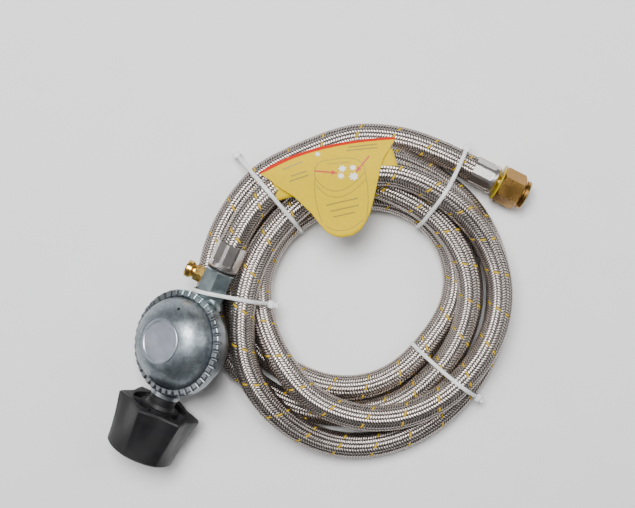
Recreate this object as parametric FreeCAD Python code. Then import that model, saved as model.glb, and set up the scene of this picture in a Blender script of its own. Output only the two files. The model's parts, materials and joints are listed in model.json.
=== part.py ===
import FreeCAD, Part
import math
import os

# Gas regulator with a coiled, braided supply hose, in millimetres, lying on the floor plane z = 0.
# Regulator frame: +X runs down the gas line from the hose outlet to the cylinder inlet, +Z is the
# centre line of the diaphragm and its dome, and the origin is where the two lines cross.

V = FreeCAD.Vector
os.makedirs("parts", exist_ok=True)

# ---- where things lie ----
REG_AT = V(10.21, 11.89, 29.225)   # crossing point of gas line and dome line
REG_HEADING = -114.9               # heading of the gas line on the floor, degrees
REG_DIP = 7.3                      # the gas line falls towards the handwheel
REG_ROLL = 31.0                    # the dome leans over to one side
COIL_AT = V(112.14, 41.45, 0)      # centre of the hose coil
OUTLET_AT = V(66.2, 73.4, 12.4)    # mouth of the outlet ferrule, from the coil centre
OUTLET_HEADING = -27.0

# ---- hose ----
HOSE_R = 7.7
HOSE_BORE_R = 4.65
COIL_LOW = 1.2                     # the coil rests on the bands of its ties
COIL_HIGH = 33.2
COIL_STEP = 17.6                   # the outermost turns lie in one layer, up to this height
COIL_OUTER = (95.0, -3.0, 1.0)     # radius, centre x, centre y
COIL_UPPER = (79.0, 6.5, -3.0)
COIL_INNER = (53.5, -6.5, 2.5)
COIL_ROUND = 7.4
COIL_HOLE_ROUND = 4.0
LEAD_IN_FIRST = 18.0               # straight run out of the regulator's ferrule
LEAD_IN = [                        # the bends after it, from the coil centre
    (-49.6, 63.1, 36.5),
    (-25.4, 76.8, 30.5),
    (-0.3, 82.0, 23.5),
]
LEAD_OUT = [                       # the last point is the ferrule mouth
    (-11.2, 92.8, 9.0),
    (8.5, 93.8, 9.5),
    (29.0, 90.4, 11.2),
    (49.27, 82.03, 12.4),
]
CORNER_SHARE = 0.45                # part of the shorter run that a bend may use

# ---- crimped hose ends ----
FERRULE_R = 8.9
FERRULE_LEN = 16.0
FERRULE_END_WALL = 1.6
PANEL_COUNT = 8
PANEL_DEPTH = 0.55
TAIL_BORE_R = 3.2
NECK_R = 5.0
TAIL_THREAD = 4.2

# ---- regulator housing ----
RIM_R = 30.7
RIM_INNER_R = 29.0
FLANGE_TOP = 8.6
LIP_TOP = 12.4
LIP_INNER_R = 26.4
DIMPLES = 40
LUG_AT = -57.0                     # about the dome line from +X, degrees
CHAMBER_R = 21.5
CHAMBER_FLOOR = -8.6
DIAPHRAGM_T = 1.0
BONNET_LOW = 9.7
BONNET_FLANGE_TOP = 10.9
DOME_TOP = 26.2
CAP_R = 12.9
HEX_AF = 16.0
HEX_END = -47.3
INLET_BOSS_END = 34.0
TEST_X = -40.5
SEAL_T = 0.8
MOUTH_X = HEX_END - SEAL_T - FERRULE_LEN

# ---- valve train ----
PIVOT_X = 14.0
PIVOT_Z = -5.6
PIN_R = 1.0
RUN_GAP = 0.06                     # radial running clearance
ORIFICE_TIP = 18.5
SEAT_FACE = 17.5
HOLDER_R = 3.5

# ---- inlet nipple and handwheel ----
SHANK_R = 5.5
WHEEL_NECK_START = 34.6
WHEEL_BACK = 41.0
WEB_FRONT = 50.0
WHEEL_FRONT = 71.0
WHEEL_LOBE_R = 25.2
WHEEL_WAIST_R = 20.6
WHEEL_RIM_R = 20.7
LOBES = 6
LOBE_AT = -12.0                    # angle of a lobe about +X from +Z, degrees
THREAD_R = 12.6                    # minor radius of the 27 mm connection thread
THREAD = (60.4, 69.8)              # start and end of the thread; a relief groove lies behind it
RELIEF_R = 13.4
NOSE_END = 59.8
O_RING_X = 55.9

# ---- flare nut ----
NUT_AF = 19.05
NUT_START = 18.0
NUT_HEX_END = 32.0
NUT_END = 35.5
NUT_THREAD_R = 7.15                # minor radius of 5/8 in - 18 UNF
NUT_THREAD = (27.2, 34.7)          # start and end of the thread; a relief groove lies behind it
NUT_RELIEF_R = 7.6
NUT_WEB = 3.5
RING_R = 11.4
RING = (17.25, 17.85)               # start and end of the colour ring

ROLL_REG = FreeCAD.Rotation(REG_HEADING, REG_DIP, REG_ROLL)
REG_PLACE = FreeCAD.Placement(REG_AT, ROLL_REG)
REG_END_PLACE = REG_PLACE.multiply(FreeCAD.Placement(V(MOUTH_X, 0, 0), FreeCAD.Rotation()))
OUT_PLACE = FreeCAD.Placement(COIL_AT + OUTLET_AT, FreeCAD.Rotation(OUTLET_HEADING, 0, 0))

solids = {}


def keep(name, shape, place=None):
    """Store one closed solid, or a group of them, under its node name."""
    shape = shape.removeSplitter()
    if place is not None:
        shape = shape.copy()
        shape.Placement = place.multiply(shape.Placement)
    solids[name] = shape


def ring_z(outer, inner, low, high):
    """A tube on the Z axis; inner 0 gives a plain cylinder."""
    body = Part.makeCylinder(outer, high - low, V(0, 0, low))
    if inner > 0:
        body = body.cut(Part.makeCylinder(inner, high - low + 2, V(0, 0, low - 1)))
    return body


def ring_x(outer, inner, start, end):
    """A tube on the X axis; inner 0 gives a plain cylinder."""
    body = Part.makeCylinder(outer, end - start, V(start, 0, 0), V(1, 0, 0))
    if inner > 0:
        body = body.cut(Part.makeCylinder(inner, end - start + 2, V(start - 1, 0, 0), V(1, 0, 0)))
    return body


def turned_x(profile):
    """Revolve (x, radius) points about the X axis."""
    points = [V(x, 0, r) for x, r in profile]
    face = Part.Face(Part.makePolygon(points + [points[0]]))
    return face.revolve(V(0, 0, 0), V(1, 0, 0), 360)


def turned_z(edges):
    """Revolve a closed outline of edges in the XZ plane about the Z axis."""
    return Part.Face(Part.Wire(edges)).revolve(V(0, 0, 0), V(0, 0, 1), 360)


def outline(points):
    """Edges of a closed XZ outline; a third value marks the middle point of an arc."""
    edges = []
    count = len(points)
    index = 0
    while index < count:
        here = points[index]
        after = points[(index + 1) % count]
        if len(after) == 3:
            last = points[(index + 2) % count]
            edges.append(Part.Arc(V(here[0], 0, here[1]), V(after[0], 0, after[1]),
                                  V(last[0], 0, last[1])).toShape())
            index += 2
        else:
            edges.append(Part.LineSegment(V(here[0], 0, here[1]), V(after[0], 0, after[1])).toShape())
            index += 1
    return edges


def hex_x(across_flats, start, end, turn=0.0):
    """Hexagonal bar on the X axis, with a flat facing +Z when turn is 0."""
    corner = across_flats / math.sqrt(3)
    points = []
    for step in range(6):
        angle = math.radians(60 * step + turn)
        points.append(V(start, corner * math.cos(angle), corner * math.sin(angle)))
    face = Part.Face(Part.makePolygon(points + [points[0]]))
    return face.extrude(V(end - start, 0, 0))


def box(x, y, z):
    """A box from (low, high) pairs."""
    return Part.makeBox(x[1] - x[0], y[1] - y[0], z[1] - z[0], V(x[0], y[0], z[0]))


# ---------------------------------------------------------------- housing

def make_body():
    rim = [
        (0, -12.2), (17.0, -12.2), (23.6, -7.5, "arc"), (26.6, 2.4), (28.5, 4.8), (29.9, 5.0),
        (RIM_R, 5.8), (RIM_R, 11.4), (30.2, 12.2, "arc"), (29.3, LIP_TOP), (27.3, LIP_TOP),
        (26.7, 12.0, "arc"), (LIP_INNER_R, 11.0), (RIM_INNER_R, 11.0), (RIM_INNER_R, FLANGE_TOP),
        (24.0, FLANGE_TOP), (CHAMBER_R + 0.8, 7.4), (CHAMBER_R, -7.2), (CHAMBER_R - 1.4, CHAMBER_FLOOR),
        (0, CHAMBER_FLOOR),
    ]
    body = turned_z(outline(rim))
    inside = ring_z(CHAMBER_R, 0, CHAMBER_FLOOR, FLANGE_TOP)
    inlet = turned_x([(18, 0), (18, 10.2), (30, 10.2), (31.5, 8.8), (INLET_BOSS_END, 8.8), (INLET_BOSS_END, 0)])
    outlet = hex_x(HEX_AF, HEX_END + 0.9, -18)
    collar = turned_x([(HEX_END, 0), (HEX_END, 8.1), (HEX_END + 0.9, 8.9), (HEX_END + 0.9, 0)])
    root = turned_x([(-31, 0), (-31, 8.2), (-26, 10.4), (-18, 10.4), (-18, 0)])
    bosses = inlet.fuse([outlet, collar, root]).cut(inside)
    bosses = bosses.cut(ring_z(RIM_INNER_R + 0.4, 0, FLANGE_TOP, LIP_TOP + 2))
    lug_dir = V(math.cos(math.radians(LUG_AT)), math.sin(math.radians(LUG_AT)), 0)
    lug = Part.makeCylinder(2.7, 10.5, lug_dir * 24.0 + V(0, 0, 1.6), lug_dir)
    body = body.fuse([bosses, lug])
    cuts = [
        Part.makeCylinder(1.1, 5.0, lug_dir * 30.0 + V(0, 0, 1.6), lug_dir),
        ring_x(4.55, 0, 20.0, 27.0),
        ring_x(6.0, 0, 26.9, INLET_BOSS_END + 1),
        ring_x(3.5, 0, -40.0, -20.0),
        ring_x(5.55, 0, HEX_END - 1, HEX_END + TAIL_THREAD + 0.1),
        placed_test(Part.makeCylinder(2.5, 7.0, V(0, 0, -5.0))),
    ]
    for step in range(DIMPLES):
        angle = 2 * math.pi * step / DIMPLES
        out = V(math.cos(angle), math.sin(angle), 0)
        start = out * 28.0 + V(0, 0, LIP_TOP + 0.75)
        aim = out * 4.6 + V(0, 0, -1.6)
        cuts.append(Part.makeCylinder(1.2, aim.Length, start, aim))
    return body.cut(cuts)


def placed_test(shape):
    """Turn a shape built on +Z onto the test point's hex face."""
    shape = shape.copy()
    face = HEX_AF / 2
    at = V(TEST_X, -face * math.sin(math.radians(60)), face * math.cos(math.radians(60)))
    shape.Placement = FreeCAD.Placement(at, FreeCAD.Rotation(V(1, 0, 0), 60))
    return shape


def make_bonnet():
    dome = [
        (28.9, BONNET_LOW), (28.9, BONNET_FLANGE_TOP), (26.3, BONNET_FLANGE_TOP),
        (22.9, 19.7, "arc"), (CAP_R + 0.6, DOME_TOP), (CAP_R + 0.1, DOME_TOP), (CAP_R + 0.1, DOME_TOP - 0.7),
        (9.2, DOME_TOP - 0.7), (9.2, 20.2), (11.0, 20.2), (11.0, 23.9),
        (20.1, 18.9, "arc"), (24.2, BONNET_LOW),
    ]
    bonnet = turned_z(outline(dome))
    vent = Part.makeCylinder(0.85, 12, V(-18.6, 0, 14), V(-0.25, 0, 1))
    mark = box((-27.8, -25.4), (-0.4, 0.4), (10.6, 12.2))
    return bonnet.cut([vent, mark])


def make_cap():
    top = DOME_TOP + 0.45
    cap = [
        (0, DOME_TOP - 0.6), (CAP_R, DOME_TOP - 0.6), (CAP_R, DOME_TOP + 0.1),
        (CAP_R - 0.3, DOME_TOP + 0.4, "arc"), (CAP_R - 0.8, top), (CAP_R - 1.6, top),
        (CAP_R - 2.0, DOME_TOP + 0.15), (0, DOME_TOP + 0.15),
    ]
    return turned_z(outline(cap))


def make_adjuster():
    ring = ring_z(9.1, 3.2, 21.9, 25.2)
    slot = box((-7.0, 7.0), (-0.8, 0.8), (24.0, 26.0))
    groove = ring_z(7.9, 6.0, 21.8, 22.6)
    return ring.cut([slot, groove])


def make_spring():
    wire_r = 0.65
    coil_r = 6.95
    low = 10.8 + wire_r
    height = 22.55 - wire_r - low
    sides = 16
    path = Part.makeHelix(height / 5.5, height, coil_r)
    corners = []
    for side in range(sides):
        angle = 2 * math.pi * side / sides
        corners.append(V(coil_r + wire_r * math.cos(angle), 0, wire_r * math.sin(angle)))
    section = Part.makePolygon(corners + [corners[0]])
    spring = Part.Wire(path).makePipeShell([section], True, True)
    spring.translate(V(0, 0, low))
    return spring


def make_diaphragm():
    low = FLANGE_TOP
    high = FLANGE_TOP + DIAPHRAGM_T
    shape = [
        (2.3, low), (17.2, low), (19.2, low + 1.9, "arc"), (21.2, low), (28.9, low),
        (28.9, high), (22.0, high), (19.2, high + 1.7, "arc"), (16.4, high), (2.3, high),
    ]
    return turned_z(outline(shape))


def make_post():
    post = ring_z(3.2, 0, -4.0, 7.5)
    post = post.fuse([ring_z(6.0, 0, 7.4, 8.5), ring_z(2.0, 0, 8.4, 13.2)])
    window = box((-4, 4), (-1.75, 1.75), (-2.6, 0.4))
    return post.cut(window)


def make_plate():
    plate = turned_z(outline([(2.05, 9.7), (15.2, 9.7), (16.0, 10.2), (16.0, 11.6), (15.2, 11.6),
                              (14.6, 10.7), (2.05, 10.7)]))
    holes = []
    for step in range(6):
        angle = math.radians(60 * step)
        holes.append(Part.makeCylinder(1.2, 4, V(11.2 * math.cos(angle), 11.2 * math.sin(angle), 9)))
    return plate.cut(holes)


def make_plate_nut():
    nut = hex_x(6.6, 10.75, 12.9)
    nut.rotate(V(0, 0, 0), V(0, 1, 0), -90)
    return nut.cut(ring_z(2.02, 0, 10, 14))


def make_lever():
    width = (-1.5, 1.5)
    hub = Part.makeCylinder(1.9, 3.0, V(PIVOT_X, -1.5, PIVOT_Z), V(0, 1, 0))
    short_arm = box((PIVOT_X - 0.8, PIVOT_X + 0.8), width, (PIVOT_Z, 1.2))
    long_arm = box((3.9, PIVOT_X), width, (-7.0, -5.4))
    riser = box((3.9, 5.5), width, (-7.0, -0.1))
    tip = box((-1.2, 5.5), width, (-1.7, -0.1))
    lever = hub.fuse([short_arm, long_arm, riser, tip])
    return lever.cut(Part.makeCylinder(PIN_R + RUN_GAP, 6, V(PIVOT_X, -3, PIVOT_Z), V(0, 1, 0)))


def make_guide():
    base_top = -7.9
    base = box((8.6, 17.6), (-6, 6), (CHAMBER_FLOOR, base_top))
    ears = [box((11.8, 16.4), (-5.4, -2.2), (base_top, -4.2)), box((11.8, 16.4), (2.2, 5.4), (base_top, -4.2))]
    block = box((9.4, 11.8), (-5.4, 5.4), (base_top, 4.8))
    guide = base.fuse(ears + [block])
    guide = guide.cut(ring_x(HOLDER_R + RUN_GAP, 0, 9, 20))
    guide = guide.cut(box((9, 12), (-2.0, 2.0), (base_top, -2.0)))
    return guide.cut(Part.makeCylinder(PIN_R, 14, V(PIVOT_X, -7, PIVOT_Z), V(0, 1, 0)))


def make_holder():
    holder = ring_x(HOLDER_R, 0, 9.0, 16.5)
    return holder.cut(box((12.3, 15.2), (-1.75, 1.75), (-4, 1.8)))


def make_orifice():
    return turned_x([
        (ORIFICE_TIP, 1.0), (ORIFICE_TIP, 1.5), (ORIFICE_TIP + 0.8, 2.9), (20.6, 2.9), (20.6, 4.5), (26.8, 4.5),
        (26.8, 2.6), (22.5, 2.6), (21.4, 1.0),
    ])


# ---------------------------------------------------------------- inlet

def make_nipple():
    return turned_x([
        (27.1, 2.5), (27.1, 5.95), (33.9, 5.95), (33.9, SHANK_R), (WEB_FRONT + 1.0, SHANK_R),
        (WEB_FRONT + 1.0, 10.5), (WEB_FRONT + 3.2, 10.5), (WEB_FRONT + 3.6, 8.0), (O_RING_X - 1.3, 8.0),
        (O_RING_X - 1.3, 6.2), (O_RING_X + 1.3, 6.2), (O_RING_X + 1.3, 8.0), (NOSE_END - 1.4, 8.0),
        (NOSE_END, 6.4), (NOSE_END, 2.5),
    ])


def make_o_ring():
    return Part.makeTorus(7.4, 1.15, V(O_RING_X, 0, 0), V(1, 0, 0))


def lobed_wire(x, lobe_r, waist_r, sharpness):
    """Closed curve with a crest every sixth of a turn."""
    points = []
    count = 72
    for step in range(count):
        angle = 2 * math.pi * step / count
        swell = (1 - abs(math.sin(LOBES * angle / 2))) ** sharpness
        radius = waist_r + (lobe_r - waist_r) * swell
        turn = angle + math.radians(LOBE_AT)
        points.append(V(x, -radius * math.sin(turn), radius * math.cos(turn)))
    curve = Part.BSplineCurve()
    curve.interpolate(points, PeriodicFlag=True)
    return Part.Wire(curve.toShape())


def make_handwheel():
    bevel = lobed_wire(WHEEL_BACK, WHEEL_LOBE_R - 0.8, WHEEL_WAIST_R - 1.0, 0.9)
    sides = [
        lobed_wire(WHEEL_BACK + 1.0, WHEEL_LOBE_R, WHEEL_WAIST_R - 0.2, 0.9),
        lobed_wire(WHEEL_BACK + 10.5, 23.2, 19.9, 0.9),
        lobed_wire(WHEEL_BACK + 20.0, 21.6, 19.9, 0.9),
        lobed_wire(WHEEL_FRONT - 0.8, WHEEL_RIM_R, WHEEL_RIM_R - 0.3, 0.9),
    ]
    edge = lobed_wire(WHEEL_FRONT, WHEEL_RIM_R - 0.8, WHEEL_RIM_R - 1.1, 0.9)
    skin = Part.makeLoft(sides, True, False)
    skin = skin.fuse([Part.makeLoft([bevel, sides[0]], True, True), Part.makeLoft([sides[-1], edge], True, True)])
    neck = turned_x([(WHEEL_NECK_START, 0), (WHEEL_NECK_START, 7.5), (WHEEL_NECK_START + 0.6, 8.0),
                     (WHEEL_BACK - 2, 8.0), (WHEEL_BACK + 1, 10.0), (WHEEL_BACK + 1, 0)])
    wheel = skin.fuse(neck)
    cuts = [
        ring_x(SHANK_R + RUN_GAP, 0, WHEEL_NECK_START - 1, WEB_FRONT + 1),
        turned_x([(WEB_FRONT, 0), (WEB_FRONT, RELIEF_R), (THREAD[0], RELIEF_R), (THREAD[0], THREAD_R),
                  (THREAD[1], THREAD_R), (WHEEL_FRONT + 1, THREAD_R + 2.2), (WHEEL_FRONT + 1, 0)]),
        ring_x(17.0, 11.6, WHEEL_BACK - 1, WHEEL_BACK + 3.4),
    ]
    wheel = wheel.cut(cuts)
    ribs = []
    for step in range(LOBES):
        rib = box((WHEEL_BACK + 0.5, WHEEL_BACK + 3.6), (-0.9, 0.9), (11.0, 17.6))
        rib.rotate(V(0, 0, 0), V(1, 0, 0), LOBE_AT + 60 * step)
        ribs.append(rib)
    return wheel.fuse(ribs)


# ---------------------------------------------------------------- hose ends

def make_ferrule():
    """Crimped sleeve: mouth at x = 0, rounded closed end at its far side."""
    sleeve = turned_z_to_x([
        (HOSE_R + 0.05, 0), (FERRULE_R - 0.3, 0), (FERRULE_R, 0.4), (FERRULE_R, FERRULE_LEN - 2.2),
        (FERRULE_R - 0.55, FERRULE_LEN - 0.6, "arc"), (FERRULE_R - 2.0, FERRULE_LEN), (NECK_R + 0.05, FERRULE_LEN),
        (NECK_R + 0.05, FERRULE_LEN - FERRULE_END_WALL), (HOSE_R + 0.05, FERRULE_LEN - FERRULE_END_WALL),
    ])
    panel = box((-1, 12.4), (-2.55, 2.55), (FERRULE_R - PANEL_DEPTH, FERRULE_R + 2))
    upright = [edge for edge in panel.Edges if is_upright(edge)]
    panel = panel.makeFillet(1.1, upright)
    cuts = []
    for step in range(PANEL_COUNT):
        cutter = panel.copy()
        cutter.rotate(V(0, 0, 0), V(1, 0, 0), 360.0 * step / PANEL_COUNT)
        cuts.append(cutter)
    return sleeve.cut(cuts)


def is_upright(edge):
    """True for a box edge that runs along Z."""
    first = edge.Vertexes[0].Point
    last = edge.Vertexes[-1].Point
    return abs(first.x - last.x) < 1e-6 and abs(first.y - last.y) < 1e-6


def turned_z_to_x(points):
    """Revolve (radius, x) points about Z, then lay the result along X."""
    shape = turned_z(outline(points))
    shape.rotate(V(0, 0, 0), V(0, 1, 0), 90)
    return shape


def barbs():
    """Saw-tooth (x, radius) profile of the part of a tail that the hose grips."""
    profile = []
    for step in range(4):
        start = 1.5 + 3.1 * step
        profile += [(start, 4.1), (start + 2.7, 4.6), (start + 2.7, 4.1)]
    return profile


def make_regulator_tail():
    far = FERRULE_LEN + SEAL_T
    return turned_x([(1.5, TAIL_BORE_R)] + barbs() + [
        (FERRULE_LEN - FERRULE_END_WALL - 0.1, 4.1), (FERRULE_LEN - FERRULE_END_WALL - 0.1, NECK_R),
        (far, NECK_R), (far, 5.5), (far + TAIL_THREAD, 5.5), (far + TAIL_THREAD, TAIL_BORE_R),
    ])


def make_outlet_tail():
    seat = NUT_START + NUT_WEB + 0.1
    return turned_x([(1.5, TAIL_BORE_R)] + barbs() + [
        (FERRULE_LEN - FERRULE_END_WALL - 0.1, 4.1), (FERRULE_LEN - FERRULE_END_WALL - 0.1, NECK_R),
        (seat, NECK_R), (seat, 6.9), (seat + 2.2, 6.9), (seat + 5.3, 3.8), (seat + 5.3, TAIL_BORE_R),
    ])


def make_liner_end():
    return ring_x(HOSE_R, HOSE_BORE_R, 0, FERRULE_LEN - FERRULE_END_WALL - 0.2)


def make_flare_nut():
    corner = NUT_AF / math.sqrt(3)
    flats = hex_x(NUT_AF, NUT_START, NUT_HEX_END, 10.0)
    rounding = turned_x([
        (NUT_START, 0), (NUT_START, NUT_AF / 2 - 0.2), (NUT_START + 1.3, corner), (NUT_HEX_END - 1.5, corner),
        (NUT_HEX_END, NUT_AF / 2 - 0.4), (NUT_HEX_END, 0),
    ])
    collar = turned_x([(NUT_HEX_END - 0.5, 0), (NUT_HEX_END - 0.5, 8.2), (NUT_HEX_END + 0.8, 8.2),
                       (NUT_HEX_END + 1.2, 8.9), (NUT_END - 0.4, 8.9), (NUT_END, 8.5), (NUT_END, 0)])
    nut = flats.common(rounding).fuse(collar)
    inside = NUT_START + NUT_WEB
    return nut.cut([
        ring_x(NECK_R + RUN_GAP, 0, NUT_START - 1, NUT_END),
        turned_x([(inside, 0), (inside, NUT_RELIEF_R), (NUT_THREAD[0], NUT_RELIEF_R),
                  (NUT_THREAD[0], NUT_THREAD_R), (NUT_THREAD[1], NUT_THREAD_R),
                  (NUT_END + 0.2, NUT_THREAD_R + 1.0), (NUT_END + 0.2, 0)]),
    ])


# ---------------------------------------------------------------- test point

def make_test_body():
    hexagon = hex_x(9.0, 0.0, 5.2)
    hexagon.rotate(V(0, 0, 0), V(0, 1, 0), -90)
    body = hexagon.fuse([ring_z(2.45, 0, -4.4, 0.1), ring_z(4.0, 0, 5.1, 6.3)])
    return body.cut([ring_z(1.0, 0, -5, 2), ring_z(1.5 + RUN_GAP, 0, 1.2, 7)])


def make_test_screw():
    head = turned_z(outline([(0, 6.6), (3.8, 6.6), (5.0, 7.7), (5.0, 10.2), (4.5, 11.0), (0, 11.0)]))
    shank = ring_z(1.5, 0, 1.9, 6.8)
    slot = box((-6, 6), (-0.5, 0.5), (10.0, 12))
    return head.fuse(shank).cut(slot)


# ---------------------------------------------------------------- hose

def tube(points, name):
    """Round bar along straight runs joined by tangent arcs; prints its radii and volume."""
    edges = []
    start = points[0]
    radii = []
    length = 0.0
    for before, here, after in zip(points, points[1:], points[2:]):
        into = (here - before).normalize()
        out = (after - here).normalize()
        turn = into.getAngle(out)
        shorter = min((here - before).Length, (after - here).Length)
        cut = CORNER_SHARE * shorter
        radius = cut / math.tan(turn / 2)
        radii.append(round(radius))
        first = here - into * cut
        last = here + out * cut
        inward = (out - into).normalize()
        centre = here + inward * (radius / math.cos(turn / 2))
        middle = centre + (here - centre).normalize() * radius
        edges.append(Part.LineSegment(start, first).toShape())
        edges.append(Part.Arc(first, middle, last).toShape())
        length += (first - start).Length + radius * turn
        start = last
    edges.append(Part.LineSegment(start, points[-1]).toShape())
    length += (points[-1] - start).Length
    path = Part.Wire(edges)
    heading = points[1] - points[0]
    section = Part.Wire(Part.makeCircle(HOSE_R, points[0], heading))
    body = path.makePipeShell([section], True, False)
    expected = math.pi * HOSE_R ** 2 * length
    print(name, "radii", radii, "length %.1f" % length, "volume ratio %.4f" % (body.Volume / expected))
    return body


def route(rows):
    return [COIL_AT + V(*row) for row in rows]


def disc(size, low, high):
    """Upright cylinder of the coil from (radius, centre x, centre y)."""
    radius, at_x, at_y = size
    return Part.makeCylinder(radius, high - low, COIL_AT + V(at_x, at_y, low))


def rounded(shape, radius, ends):
    """Round the whole circles of an upright shape that lie at the given heights."""
    chosen = []
    for edge in shape.Edges:
        for height in ends:
            if isinstance(edge.Curve, Part.Circle) and abs(edge.Curve.Center.z - height) < 1e-4:
                chosen.append(edge)
    return shape.makeFillet(radius, chosen)


def make_coil(cutters):
    """Outer shape of the coil: a wide lower layer and a narrower upper one, with round edges."""
    lower = rounded(disc(COIL_OUTER, COIL_LOW, COIL_STEP), COIL_ROUND, (COIL_LOW, COIL_STEP))
    upper = rounded(disc(COIL_UPPER, COIL_LOW, COIL_HIGH), COIL_ROUND, (COIL_LOW, COIL_HIGH))
    ring = lower.fuse(upper).cut(disc(COIL_INNER, 0, COIL_HIGH + 1))
    return rounded(ring, COIL_HOLE_ROUND, (COIL_LOW,)).cut(cutters)


# ---------------------------------------------------------------- ties and tag

TIE_W = 3.4
TIE_T = 1.1


def tie_loop(corners, heading, at, round_r):
    """Flat band bent round a closed outline that stands on a vertical plane."""
    points = [V(s, 0, z) for s, z in corners]
    solid = Part.Face(Part.makePolygon(points + [points[0]])).extrude(V(0, TIE_W, 0))
    across = [edge for edge in solid.Edges if is_across(edge)]
    outside = solid.makeFillet(round_r, across)
    flat = [item for item in outside.Faces if abs(item.BoundBox.YMax) < 1e-6]
    hole_wire = flat[0].OuterWire.makeOffset2D(-TIE_T)
    hole = Part.Face(hole_wire).extrude(V(0, TIE_W, 0))
    loop = outside.cut(hole)
    loop.translate(V(0, -TIE_W / 2, 0))
    loop.Placement = FreeCAD.Placement(COIL_AT + V(*at), FreeCAD.Rotation(heading, 0, 0))
    return loop


def is_across(edge):
    """True for an edge that runs along Y."""
    first = edge.Vertexes[0].Point
    last = edge.Vertexes[-1].Point
    return abs(first.x - last.x) < 1e-6 and abs(first.z - last.z) < 1e-6


TIES = {                           # angle round the coil, then (radius, height) corners
    "cable_tie_upper_left": (134.0, [(54, 0), (100, 0), (100, 22), (89, 47), (71, 47), (54, 35)]),
    "cable_tie_upper_right": (54.0, [(47, 0), (107, 0), (107, 21.5), (86, 35), (47, 35)]),
    "cable_tie_lower_right": (-46.0, [(42, 0), (98, 0), (98, 19.5), (86, 35), (42, 35)]),
}


def make_tie(angle, corners):
    return tie_loop(corners, angle, (0, 0, 0), 5.0)


def make_regulator_tie():
    corners = [(-4.0, 0.0), (45.0, 0.0), (45.0, 31.5), (36.0, 37.5), (16.0, 47.5), (-4.0, 47.5)]
    return tie_loop(corners, -12.0, (-96.9, 1.3, 0), 5.0)


def make_tag():
    rim = [(-59.3, 67.6), (-26.2, 82.4), (18.2, 87.5), (9.7, 72.7), (2.0, 41.6), (-11.8, 32.4), (-29.0, 45.0)]
    slope_x = -0.02
    slope_y = 0.12
    high = 36.0
    points = [V(x, y, high + slope_x * x + slope_y * y) for x, y in rim]
    edges = [
        Part.Arc(points[0], points[1], points[2]).toShape(),
        Part.LineSegment(points[2], points[3]).toShape(),
        Part.LineSegment(points[3], points[4]).toShape(),
        Part.Arc(points[4], points[5], points[6]).toShape(),
        Part.LineSegment(points[6], points[0]).toShape(),
    ]
    sheet = Part.Face(Part.Wire(edges)).extrude(V(0, 0, 0.8))
    sheet.translate(COIL_AT)
    return sheet


# ---------------------------------------------------------------- build

keep("regulator_body", make_body(), REG_PLACE)
keep("bonnet", make_bonnet(), REG_PLACE)
keep("bonnet_cap", make_cap(), REG_PLACE)
keep("spring_adjuster", make_adjuster(), REG_PLACE)
keep("main_spring", make_spring(), REG_PLACE)
keep("diaphragm", make_diaphragm(), REG_PLACE)
keep("diaphragm_plate", make_plate(), REG_PLACE)
keep("diaphragm_post", make_post(), REG_PLACE)
keep("plate_nut", make_plate_nut(), REG_PLACE)
keep("lever", make_lever(), REG_PLACE)
keep("lever_pin", Part.makeCylinder(PIN_R, 10.8, V(PIVOT_X, -5.4, PIVOT_Z), V(0, 1, 0)), REG_PLACE)
keep("valve_guide", make_guide(), REG_PLACE)
keep("seat_holder", make_holder(), REG_PLACE)
keep("seat_disc", ring_x(3.2, 0, 16.5, SEAT_FACE), REG_PLACE)
keep("orifice", make_orifice(), REG_PLACE)
keep("inlet_nipple", make_nipple(), REG_PLACE)
keep("nose_seal", make_o_ring(), REG_PLACE)
keep("thrust_washer", ring_x(10.2, SHANK_R + 0.05, WEB_FRONT + 0.1, WEB_FRONT + 0.9), REG_PLACE)
keep("handwheel", make_handwheel(), REG_PLACE)
keep("test_point_body", placed_test(make_test_body()), REG_PLACE)
keep("test_point_screw", placed_test(make_test_screw()), REG_PLACE)
keep("outlet_seal", ring_x(8.3, NECK_R + 0.05, HEX_END - SEAL_T, HEX_END), REG_PLACE)
keep("hose_tail_regulator", make_regulator_tail(), REG_END_PLACE)
keep("ferrule_regulator", make_ferrule(), REG_END_PLACE)
keep("hose_end_regulator", make_liner_end(), REG_END_PLACE)

mouth = REG_END_PLACE.Base
straight_end = mouth + ROLL_REG.multVec(V(-LEAD_IN_FIRST, 0, 0))
lead_in = tube([mouth, straight_end] + route(LEAD_IN), "hose_lead_in")
lead_out = tube(route(LEAD_OUT) + [OUT_PLACE.Base], "hose_lead_out")
room = ring_x(FERRULE_R + 0.3, 0, -2.0, NUT_START).fuse(ring_x(RING_R + 0.4, 0, FERRULE_LEN, NUT_END + 1))
room.Placement = OUT_PLACE
keep("hose_lead_in", lead_in)
keep("hose_coil", make_coil([lead_in, lead_out, room]))
keep("hose_lead_out", lead_out)

keep("hose_end_outlet", make_liner_end(), OUT_PLACE)
keep("ferrule_outlet", make_ferrule(), OUT_PLACE)
keep("hose_tail_outlet", make_outlet_tail(), OUT_PLACE)
keep("colour_ring", ring_x(RING_R, NECK_R + 0.1, *RING), OUT_PLACE)
keep("flare_nut", make_flare_nut(), OUT_PLACE)
keep("tag", make_tag())
for tie_name, tie_size in TIES.items():
    keep(tie_name, make_tie(*tie_size))
keep("cable_tie_regulator", make_regulator_tie())

for node, solid in solids.items():
    if not solid.isValid() or len(solid.Solids) < 1:
        print("check", node, solid.ShapeType, solid.isValid(), len(solid.Solids))
    solid.exportStep("parts/" + node + ".step")
print(len(solids), "nodes")
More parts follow.
